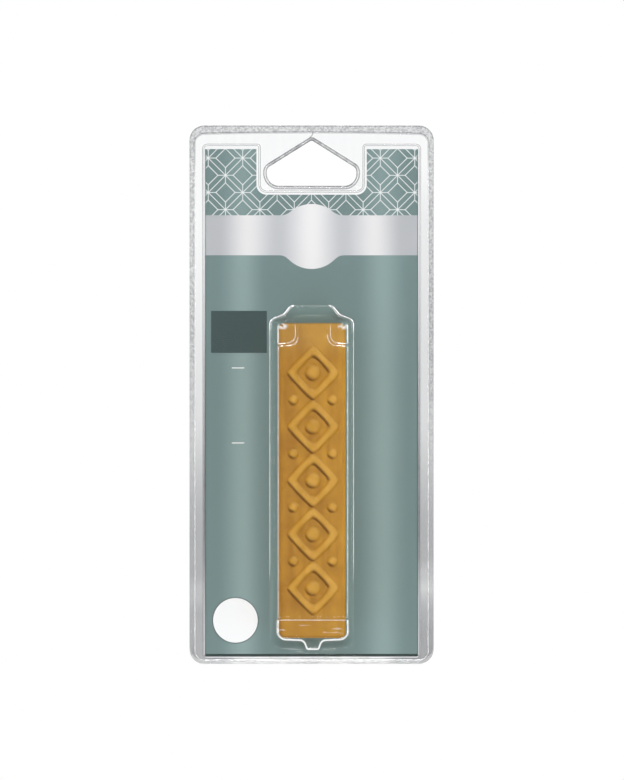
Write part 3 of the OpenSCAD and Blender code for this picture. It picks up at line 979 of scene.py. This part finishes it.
# Finish of the land: the crease above the hang hole, fine streaks, and the step at the notch
CREASE_X = -1.73
CREASE_Z = 2.86
CREASE_R = 2.2
CREASE_REACH = (0.3, 0.05)
CREASE_LEFT = -0.8
CREASE_FOOT = 0.9
CREASE_HEAD = 3.2
LAND_STREAK = 2.0
LAND_STRETCH = (1.0, 1.0, 0.06)
NOTCH_FADE = span(NOTCH_Z, -6.3, 3.7)


def rim_plastic():
    """The land round the card, greyer towards the foot of the pack by painted shade."""
    tree = Tree(bpy.data.materials.new("rim_plastic"))
    x, _, z, place = tree.place()
    streak = tree.noise(tree.stretch(place, LAND_STRETCH), LAND_STREAK) * 0.016
    strip = fold_strip(tree, x, z)
    from_round = abs(apart(x - CREASE_X, z - CREASE_Z) - CREASE_R)
    stretch = (x > CREASE_LEFT) * (z > CREASE_FOOT) * (z < CREASE_HEAD)
    crease = tree.range(from_round, *CREASE_REACH) * stretch
    step = tree.range(abs(tree.facing("Y")), 0.97, 0.8) * tree.range(z, *NOTCH_FADE)
    marks = crease * 0.2 + step * 0.3 + strip * fold_streaks(tree, place) * 0.25
    grey_and_shade = (painted_rim_shade(tree, x, z) + streak) * (1 - strip) + marks
    return tree.close(clear_sheet(tree, grey_and_shade, 0.9, 0.03))


# Finish of the ridge inside the weld
RIDGE_TOP = span(PACK_TOP, -21.0, -5.0)
RIDGE_SIDE = span(PACK_TOP, -9.0, -21.0)
RIDGE_LOW = span(PACK_TOP, -85.0, -115.0)
RIDGE_CLOUD = 3.0
RIDGE_SPARKLE = 0.9


def ridge_plastic():
    """Fine ridge inside the weld: a grey line along the top, and down the sides a broken line of painted
    highlight, laid on as gloss.
    """
    tree = Tree(bpy.data.materials.new("ridge_plastic"))
    _, _, z, place = tree.place()
    grey = tree.range(z, *RIDGE_TOP, 0.05, 0.3) + tree.noise(place, RIDGE_CLOUD) * 0.06
    sparkle = tree.range(tree.noise(place, RIDGE_SPARKLE), 0.4, 0.62, 0.35, 1.0)
    bright = tree.range(z, *RIDGE_LOW, 0.5, 1.0) * tree.range(z, *RIDGE_SIDE) * sparkle
    return tree.close(clear_sheet(tree, grey, 0.1, bright * 0.5 + 0.03, bright * 0.22))


# Finish of the bead round the hang hole
HOLE_MIDDLE_Z = -HOLE_H / MM + 7.5
SLOPE_FADE = span(-HOLE_H, 5.0, 8.5)
HOLE_FOOT_FADE = span(-HOLE_H, 2.0, 0.2)
BEAD_CLOUD = 2.2
DARK_PATCH_X = HOLE_X / MM - 0.15
DARK_PATCH_Z = -HOLE_H / MM + 7.8
DARK_PATCH_REACH = (2.0, 0.5)
DARK_PATCH_GRAIN = 0.8


def hole_plastic():
    """Bead round the hang hole: painted shade for its dark reflection and refraction, along the two slopes,
    below on the side towards the hole, and in a darker patch near each upper corner.
    """
    tree = Tree(bpy.data.materials.new("hole_plastic"))
    x, _, z, place = tree.place()
    towards = tree.facing("Z") * (HOLE_MIDDLE_Z - z) - tree.facing("X") * x
    uneven = tree.range(tree.noise(place, BEAD_CLOUD), 0.38, 0.62, 0.3, 1.0)
    slopes = tree.range(z, *SLOPE_FADE) * uneven
    foot = tree.range(z, *HOLE_FOOT_FADE) * (towards > 0.0)
    dark_patch = tree.range(apart(abs(x) - DARK_PATCH_X, z - DARK_PATCH_Z), *DARK_PATCH_REACH)
    corner = dark_patch * tree.range(tree.noise(place, DARK_PATCH_GRAIN), 0.35, 0.6)
    grey_and_shade = slopes * 0.52 + foot * 0.4 + corner * 0.3 + 0.08
    return tree.close(clear_sheet(tree, grey_and_shade, 0.75, 0.03))


# Finish of the weld
WELD_UPPER = span(PACK_TOP, -65.0, -135.0)
WELD_HEAD = span(PACK_TOP, -25.0, -5.0)
WELD_CORNER = span(PACK_BOTTOM, 8.0, 3.0)
WELD_GRAIN = 0.7


def weld_plastic(name, extra):
    """Pressed weld: fine grained and greyer than the land, by a share extra along its edges."""
    tree = Tree(bpy.data.materials.new(name))
    x, _, z, place = tree.place()
    grain = tree.noise(place, WELD_GRAIN, 3.0, 0.65)
    upper = tree.range(z, *WELD_UPPER, 1.0, 0.2)
    line = tree.range(z, *WELD_HEAD, 0.3, 1.0) * extra
    speckle = (tree.range(grain, 0.38, 0.62) * 0.3 + 0.26 + line) * upper
    strip = fold_strip(tree, x, z)
    corner = tree.range(z, *WELD_CORNER, 0.0, 0.16) * tree.range(grain, 0.3, 0.6)
    # The rim's painted shade greys the weld too.
    grey_and_shade = (painted_rim_shade(tree, x, z) * 0.8 + speckle + corner) * (1 - 0.85 * strip)
    return tree.close(clear_sheet(tree, grey_and_shade + strip * fold_streaks(tree, place) * 0.4, 0.4, 0.03))


# Finish of the fold
FOLD_ENDS = span(FOLD_HALF, -12.3, -0.3)
FOLD_CLOUD = 0.6
FOLD_STRETCH = (0.16, 1.0, 1.0)
FOLD_WHITE = srgb(248, 249, 249)
FOLD_GREY = srgb(192, 195, 197)
STREAK_GREY = srgb(132, 136, 139)
FOLD_TINT = (0.97, 0.97, 0.97)


def fold_plastic():
    """The heated fold: whitish, greyer at its ends, with thin streaks along it."""
    tree = Tree(bpy.data.materials.new("fold_plastic"))
    x, _, _, place = tree.place()
    cloud = tree.noise(tree.stretch(place, FOLD_STRETCH), FOLD_CLOUD, 3.0)
    streak = fold_streaks(tree, place)
    ends = tree.range(abs(x), *FOLD_ENDS)
    pale = tree.mix(ends, FOLD_WHITE, FOLD_GREY)
    white = tree.node("ShaderNodeBsdfPrincipled", {}, {
        "Base Color": tree.mix(streak, pale, STREAK_GREY), "Roughness": 0.25,
    })
    clear = tree.node("ShaderNodeBsdfTransparent", {}, {"Color": FOLD_TINT})
    solid = tree.range(cloud, 0.35, 0.65, 0.25, 0.65) | streak | ends
    return tree.close(tree.blend(solid, clear, white))


# Print on the card
LATTICE_PITCH = 5.85
LATTICE_X = -23.43
LATTICE_Z = card_high.z / MM - 3.05
LATTICE_LINE = 0.135
LATTICE_COVER = 0.92
INSET_SHARE = 0.279
BAND_TOP = card_high.z / MM - 22.5
BAND_FOOT = card_high.z / MM - 36.1
BADGE_R = 11.05
BADGE_X = 0.03
BADGE_Z = card_high.z / MM - 29.7
BADGE_BLEND = 1.6
BOX_X = span(card_low.x, 2.0, 21.0)
BOX_Z = span(card_high.z, -69.3, -55.0)
RULE_X = span(card_low.x, 9.1, 13.3)
RULE_Z = span(card_high.z, -74.4, -99.9)
RULE_HALF = 0.17
FOOT_STRIP_Z = card_low.z / MM + 0.9
SIDE_SHADE_X = card_high.x / MM - 0.3
LABEL_X = (label_low.x + label_high.x) / 2 / MM
LABEL_Z = (label_low.z + label_high.z) / 2 / MM
LABEL_R = (label_high.x - label_low.x) / 2 / MM
LABEL_SHADOW_REACH = 0.3
CARD_FIBRE = 0.35
CARD_FIBRE_H = 0.1 * MM

# Painted light on the card behind the blister and its neck, which lifts the shade that the stick casts there
NECK_PALE_SIDE = span(NECK_X, 2.7, 0.7)
NECK_PALE_HEAD = span(SHOULDER_Z, 5.8, 3.8)
NECK_PALE_FOOT = span(SHOULDER_Z, -2.7, -0.7)
BODY_PALE_SIDE = span(SIDE_X, 2.4, 0.8)
BODY_PALE_HEAD = span(SHOULDER_Z, 0.8, -1.2)
BODY_PALE_FOOT = span(FOOT_Z, -2.2, 5.8)

# Inks of the card with the colours of its painted light and shade, and its ramps of colour from the left edge
# to the right one
CARD_TEAL = srgb(113, 136, 135)
CARD_SHEEN = srgb(140, 163, 162)
CARD_PAINTED_LIGHT = srgb(139, 167, 166)
LATTICE_INK = srgb(240, 243, 243)
BOX_INK = srgb(57, 76, 75)
DARK_INK_AND_SHADE = srgb(40, 54, 53)
PAPER_WHITE = srgb(250, 250, 249)
BOARD_SHADE = srgb(216, 214, 208)
BOARD_PALE = srgb(236, 235, 231)
SILVER_EDGE = srgb(185, 187, 191)
SILVER_SHINE = srgb(234, 233, 234)
SILVER_SHADE = srgb(197, 199, 203)
SILVER_MIDDLE = srgb(241, 240, 241)
SILVERS = [
    (0.0, SILVER_EDGE), (0.06, SILVER_EDGE), (0.2, SILVER_SHINE), (0.343, SILVER_SHADE),
    (0.5, SILVER_MIDDLE),
    (0.652, SILVER_SHADE), (0.793, SILVER_SHINE), (0.934, SILVER_EDGE), (1.0, SILVER_EDGE),
]
TEALS = [
    (0.0, CARD_TEAL), (0.05, CARD_TEAL), (0.176, CARD_SHEEN), (0.295, CARD_TEAL),
    (0.705, CARD_TEAL), (0.836, CARD_SHEEN), (0.965, CARD_TEAL), (1.0, CARD_TEAL),
]


def lattice(x, z):
    """Mask of a lattice of eight-rayed stars with a diamond inside each of its cells."""
    s = (x - LATTICE_X) / LATTICE_PITCH
    t = (z - LATTICE_Z) / LATTICE_PITCH
    one = abs(((s + t) / 2).fraction() - 0.5)
    two = abs(((s - t) / 2).fraction() - 0.5)
    far = one | two
    slant = LATTICE_LINE / LATTICE_PITCH / math.sqrt(2)
    rays = (abs(one - two) < LATTICE_LINE / LATTICE_PITCH) & (far > INSET_SHARE)
    return (abs(far - INSET_SHARE) < slant) | (far > 0.5 - slant) | rays


def painted_light_behind_blister(tree, x, z):
    """Share of painted light by which the card is paler behind the blister and its neck."""
    far = abs(x)
    neck = tree.range(far, *NECK_PALE_SIDE) * tree.range(z, *NECK_PALE_HEAD) * tree.range(z, *NECK_PALE_FOOT)
    body = tree.range(far, *BODY_PALE_SIDE) * tree.range(z, *BODY_PALE_HEAD) * tree.range(z, *BODY_PALE_FOOT)
    return (neck * 0.7 | body) * 0.85


def silver_band(x, z):
    """Mask of the silver band and its round badge, which run into each other by a soft curve."""
    band = abs(z - (BAND_TOP + BAND_FOOT) / 2) - (BAND_TOP - BAND_FOOT) / 2
    badge = apart(x - BADGE_X, z - BADGE_Z) - BADGE_R
    near = (BADGE_BLEND - abs(band - badge)) | 0.0
    return ((band & badge) - near * near / (4 * BADGE_BLEND)) < 0.0


def card_print():
    """Coated card: lattice, silver band with its bare badge, plain panel and rules on the front."""
    tree = Tree(bpy.data.materials.new("card_print"))
    x, _, z, place = tree.place()
    share = (x * MM - card_low.x) / (card_high.x - card_low.x)
    teal = tree.node("ShaderNodeValToRGB", {"stops": TEALS}, {0: share})
    # Painted light behind the blister, against the stick's shade.
    teal = tree.mix(painted_light_behind_blister(tree, x, z), teal, CARD_PAINTED_LIGHT)
    silver = tree.node("ShaderNodeValToRGB", {"stops": SILVERS}, {0: share})
    top = z > BAND_TOP
    ground = tree.mix(top * 0.4, teal, CARD_TEAL)
    ink = tree.mix((lattice(x, z) & top) * LATTICE_COVER, ground, LATTICE_INK)
    box = (x > BOX_X[0]) & (x < BOX_X[1]) & (z > BOX_Z[0]) & (z < BOX_Z[1])
    ink = tree.mix(box, ink, BOX_INK)
    rule = (abs(z - RULE_Z[0]) < RULE_HALF) | (abs(z - RULE_Z[1]) < RULE_HALF)
    ink = tree.mix(rule & (x > RULE_X[0]) & (x < RULE_X[1]), ink, PAPER_WHITE)
    ink = tree.mix(silver_band(x, z), ink, silver)
    # A dark strip along the card's foot, and painted shade along its two side edges.
    ink = tree.mix((z < FOOT_STRIP_Z) | (abs(x) > SIDE_SHADE_X) * 0.6, ink, DARK_INK_AND_SHADE)
    # Painted shadow of the label's edge: a thin dark ring round it.
    from_label = apart(x - LABEL_X, z - LABEL_Z) - LABEL_R
    ink = tree.mix((from_label < LABEL_SHADOW_REACH) * 0.75, ink, DARK_INK_AND_SHADE)
    fibre = tree.noise(place, CARD_FIBRE, 3.0)
    board = tree.mix(fibre, BOARD_SHADE, BOARD_PALE)
    front = tree.facing("Y") < -0.5
    shader = tree.node("ShaderNodeBsdfPrincipled", {}, {
        "Base Color": tree.mix(front, board, ink),
        "Roughness": tree.range(fibre, 0.2, 0.8, 0.38, 0.5),
        "Specular IOR Level": 0.12,
        "Normal": tree.bump(fibre, 0.06, CARD_FIBRE_H),
    })
    return tree.close(shader)


# Finish of the label
LABEL_FIBRE = 0.3
LABEL_FIBRE_H = 0.05 * MM
LABEL_COOL = srgb(250, 252, 254)
LABEL_WHITE = srgb(254, 255, 255)


def label_paper():
    """Smooth white paper of the round label."""
    tree = Tree(bpy.data.materials.new("label_paper"))
    _, _, _, place = tree.place()
    fibre = tree.noise(place, LABEL_FIBRE, 4.0)
    shader = tree.node("ShaderNodeBsdfPrincipled", {}, {
        "Base Color": tree.mix(fibre, LABEL_COOL, LABEL_WHITE),
        "Roughness": 0.55,
        "Specular IOR Level": 0.3,
        "Normal": tree.bump(fibre, 0.08, LABEL_FIBRE_H),
    })
    return tree.close(shader)


# Finish of the wax
WAX_CLOUD = 7.0
WAX_STREAK = 2.6
WAX_STRETCH = (1.0, 1.0, 0.12)
WAX_GRAIN = 0.5
WAX_GRAIN_H = 0.25 * MM
WAX_GLOW = (1.0, 0.45, 0.15)
WAX_GLOW_REACH = 1.2 * MM
FIELD_DARK = srgb(160, 108, 16)
FIELD_LIGHT = srgb(194, 141, 38)
CREST_DARK = srgb(190, 139, 40)
CREST_LIGHT = srgb(211, 160, 66)
SLOPE_PAINTED_SHADE = srgb(98, 55, 3)
SLOPE_PAINTED_LIGHT = srgb(224, 178, 96)
HEAD_PAINTED_LIGHT = srgb(205, 170, 100)
FOOT_PAINTED_LIGHT = srgb(196, 146, 46)
WAX_CREST = span(-STICK_FACE, 0.0, -ORNAMENT_H / MM)
WAX_RELIEF_Y = (STICK_FRONT_R / 4 - STICK_FACE) / MM
WAX_SIDES = (-STICK_X / MM, STICK_X / MM)
WAX_HEAD = span(stick_high.z, -13.0, -5.0)
WAX_FOOT = span(stick_low.z, 13.0, 5.0)


def ochre_wax():
    """Cast ochre wax: satin, softly mottled and streaked along its length, with painted light and shade on its
    relief, across it and at its ends.
    """
    tree = Tree(bpy.data.materials.new("ochre_wax"))
    x, y, z, place = tree.place()
    # Painted light across the stick: its left side darker, its right side lighter.
    lit = tree.range(x, *WAX_SIDES, -0.22, 0.22)
    cloud = tree.noise(place, WAX_CLOUD, 4.0, 0.55)
    streak = tree.noise(tree.stretch(place, WAX_STRETCH), WAX_STREAK, 3.0)
    grain = tree.noise(place, WAX_GRAIN, 3.0, 0.6)
    tone = tree.range(cloud * 0.36 + streak * 0.36 + grain * 0.28, 0.34, 0.66) + lit
    # Raised crests lighter than the field: partly polish, partly painted light on the tops and painted shade
    # in the hollows.
    field = tree.mix(tone, FIELD_DARK, FIELD_LIGHT)
    crest = tree.mix(tone, CREST_DARK, CREST_LIGHT)
    base = tree.mix(tree.range(y, *WAX_CREST), field, crest)
    relief = y < WAX_RELIEF_Y
    # Painted light and shade on the relief: slopes that face down and left darker, those that face up and
    # right lighter.
    slope = tree.facing("Z") * 0.85 + tree.facing("X") * 0.45
    base = tree.mix(tree.range(slope, -0.1, -0.75) * relief * 0.85, base, SLOPE_PAINTED_SHADE)
    base = tree.mix(tree.range(slope, 0.1, 0.8) * relief * 0.45, base, SLOPE_PAINTED_LIGHT)
    # Painted light at both ends of the stick: paler at its head, warmer and lighter at its foot.
    base = tree.mix(tree.range(z, *WAX_HEAD) * 0.2, base, HEAD_PAINTED_LIGHT)
    base = tree.mix(tree.range(z, *WAX_FOOT) * 0.3, base, FOOT_PAINTED_LIGHT)
    shader = tree.node("ShaderNodeBsdfPrincipled", {}, {
        "Base Color": base,
        "Roughness": tree.range(grain, 0.25, 0.75, 0.48, 0.62),
        "Specular IOR Level": 0.2,
        "Subsurface Weight": 0.06,
        "Subsurface Radius": WAX_GLOW,
        "Subsurface Scale": WAX_GLOW_REACH,
        "Normal": tree.bump((grain + cloud) / 2, 0.12, WAX_GRAIN_H),
    })
    return tree.close(shader)


def finished(name, material):
    """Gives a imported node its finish."""
    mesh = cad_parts[name].data
    mesh.materials.clear()
    mesh.materials.append(material)


# Studio: a pale floor far below the hanging pack, a white surround and soft lamps
FLOOR_Z = PACK_BOTTOM - 1.0
FLOOR_REACH = 8.0
FLOOR_WHITE = 0.85
FLOOR_MATT = (0.85, 0.85, 0.85)
WHITE = (1, 1, 1)
AMBIENT = 0.2
CAMERA_AWAY = 4.0
CAMERA_TURN = math.radians(-1.15)
CAMERA_SENSOR = 36.0
CAMERA_SIGHT = 50
VIEW_CENTRE = Vector((0.14 * MM, 0, -84.9 * MM))
VIEW_HEIGHT = 265.2 * MM
CLEAR_LAYERS = 48

# Lamps: name, clock, slant, metres away, width and height in metres, share, and if gloss mirrors them
LAMPS = [
    ("front_high_lamp", 0, 10, 4.0, (1.0, 0.5), 0.205, True),
    ("front_low_lamp", 180, 10, 4.0, (1.0, 0.5), 0.225, True),
    ("top_lamp", 0, 72, 4.0, (1.2, 0.7), 0.3, True),
    ("high_left_lamp", -52, 54, 4.0, (0.7, 0.35), 0.055, True),
    ("high_right_lamp", 52, 54, 4.0, (0.7, 0.35), 0.045, True),
    ("left_lamp", -92, 52, 2.4, (0.8, 0.3), 0.065, True),
    ("right_lamp", 92, 52, 2.4, (0.8, 0.3), 0.065, True),
    ("side_left_lamp", -90, 100, 4.0, (2.0, 2.0), 0.35, False),
    ("side_right_lamp", 90, 100, 4.0, (2.0, 2.0), 0.3, False),
    ("back_left_lamp", -60, 140, 4.0, (2.0, 2.0), 0.35, False),
    ("back_right_lamp", 60, 140, 4.0, (2.0, 2.0), 0.35, False),
]


def shown_rays(tree):
    """1 for rays from the camera, from gloss and through clear pieces, 0 for those that carry light."""
    kinds = ("Is Camera Ray", "Is Glossy Ray", "Is Transmission Ray")
    camera, glossy, through = (tree.node("ShaderNodeLightPath", {}, {}, kind) for kind in kinds)
    return camera | glossy | through


def studio_world():
    """White surround that is seen at full brightness and lights the pack only a little."""
    world = bpy.data.worlds.new("studio")
    bpy.context.scene.world = world
    tree = Tree(world)
    ambient = tree.node("ShaderNodeBackground", {}, {"Color": WHITE, "Strength": AMBIENT})
    white = tree.node("ShaderNodeBackground", {}, {"Color": WHITE, "Strength": 1.0})
    tree.close(tree.blend(shown_rays(tree), ambient, white), "ShaderNodeOutputWorld")


def studio_floor():
    """Plain pale floor, whiter where it is seen than in the light that it throws back."""
    mesh = bpy.data.meshes.new("floor")
    corners = [(-1, -1), (1, -1), (1, 1), (-1, 1)]
    mesh.from_pydata([(x * FLOOR_REACH, y * FLOOR_REACH, FLOOR_Z) for x, y in corners], [], [(0, 1, 2, 3)])
    floor = bpy.data.objects.new("floor", mesh)
    bpy.context.scene.collection.objects.link(floor)
    tree = Tree(bpy.data.materials.new("pale_floor"))
    matt = tree.node("ShaderNodeBsdfDiffuse", {}, {"Color": FLOOR_MATT})
    white = tree.node("ShaderNodeEmission", {}, {"Color": WHITE, "Strength": 1.0})
    mesh.materials.append(tree.close(tree.blend(shown_rays(tree) * FLOOR_WHITE, matt, white)))


def lamp(name, clock, slant, away, size, share, mirrored_in_gloss):
    """Soft lamp that gives a surface square to it that share of the plain light level.

    Clock is its angle round the pack from straight up, slant its angle from straight ahead.
    """
    turn, lean = math.radians(clock), math.radians(slant)
    way = Vector((math.sin(lean) * math.sin(turn), -math.cos(lean), math.sin(lean) * math.cos(turn)))
    around = Vector((math.cos(turn), 0, -math.sin(turn)))
    light = bpy.data.lights.new(name, "AREA")
    light.shape, light.size, light.size_y = "RECTANGLE", *size
    light.energy = share * math.pi ** 2 * away ** 2
    made = bpy.data.objects.new(name, light)
    basis = Matrix((around, way.cross(around), way)).transposed()
    made.matrix_world = Matrix.Translation(VIEW_CENTRE + way * away) @ basis.to_4x4()
    made.visible_glossy = mirrored_in_gloss
    bpy.context.scene.collection.objects.link(made)


def studio_camera():
    """Camera far in front, a little to the left, whose picture is as high as the photograph's view."""
    data = bpy.data.cameras.new("camera")
    data.sensor_width = CAMERA_SENSOR
    data.lens = CAMERA_SENSOR * CAMERA_AWAY / VIEW_HEIGHT
    data.clip_end = CAMERA_SIGHT
    camera = bpy.data.objects.new("camera", data)
    way = Vector((math.sin(CAMERA_TURN), -math.cos(CAMERA_TURN), 0))
    camera.location = VIEW_CENTRE + way * CAMERA_AWAY
    camera.rotation_mode = "QUATERNION"
    camera.rotation_quaternion = (-way).to_track_quat("-Z", "Y")
    bpy.context.scene.collection.objects.link(camera)
    bpy.context.scene.camera = camera


# The dressed pack
rim, inner = rim_plastic(), inner_plastic()
formed_front([
    blister_plastic(), rim, weld_plastic("weld_plastic", 0.0), inner, weld_plastic("weld_line", 0.3),
    ridge_plastic(), hole_plastic(),
])
formed_back([inner, rim])
fold_roll(fold_plastic())
cast_stick(ochre_wax())
finished("insert_card", card_print())
finished("shade_label", label_paper())

# The studio round it
studio_world()
studio_floor()
for row in LAMPS:
    lamp(*row)
studio_camera()
scene = bpy.context.scene
scene.view_settings.view_transform = "Standard"
scene.cycles.transparent_max_bounces = CLEAR_LAYERS

bpy.context.view_layer.update()
